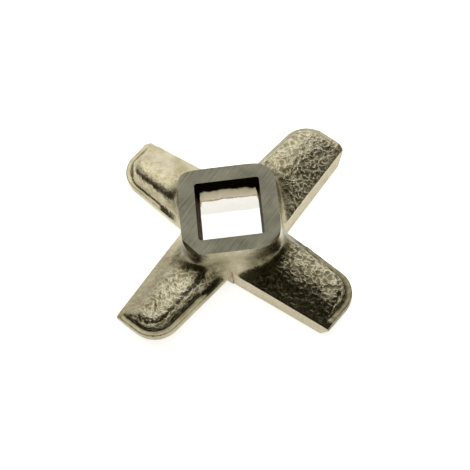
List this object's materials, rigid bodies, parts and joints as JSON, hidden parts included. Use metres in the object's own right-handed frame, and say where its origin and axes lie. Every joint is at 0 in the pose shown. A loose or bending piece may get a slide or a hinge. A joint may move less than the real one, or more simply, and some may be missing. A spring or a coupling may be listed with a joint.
{
  "type": "meat grinder knife",
  "caption": "Cast cross-shaped meat grinder knife with a raised square hub, a square drive hole and humped blades ground flat along their leading edges.",
  "frame": {"origin": "centre of the square drive hole on the flat cutting face, the plane the blades turn in", "axes": "+Z along the drive hole's axis from the cutting face to the hub face; +X and +Y along the sides of the square hole, so the blades lie on the diagonals"},
  "size_m": [0.0454, 0.0454, 0.0116],
  "materials": {
    "cast_metal": "bare cast metal, ground on the hub face, the leading faces and the cutting face"
  },
  "bodies": {
    "root": {"knife_casting": "cast_metal"}
  },
  "joints": []
}
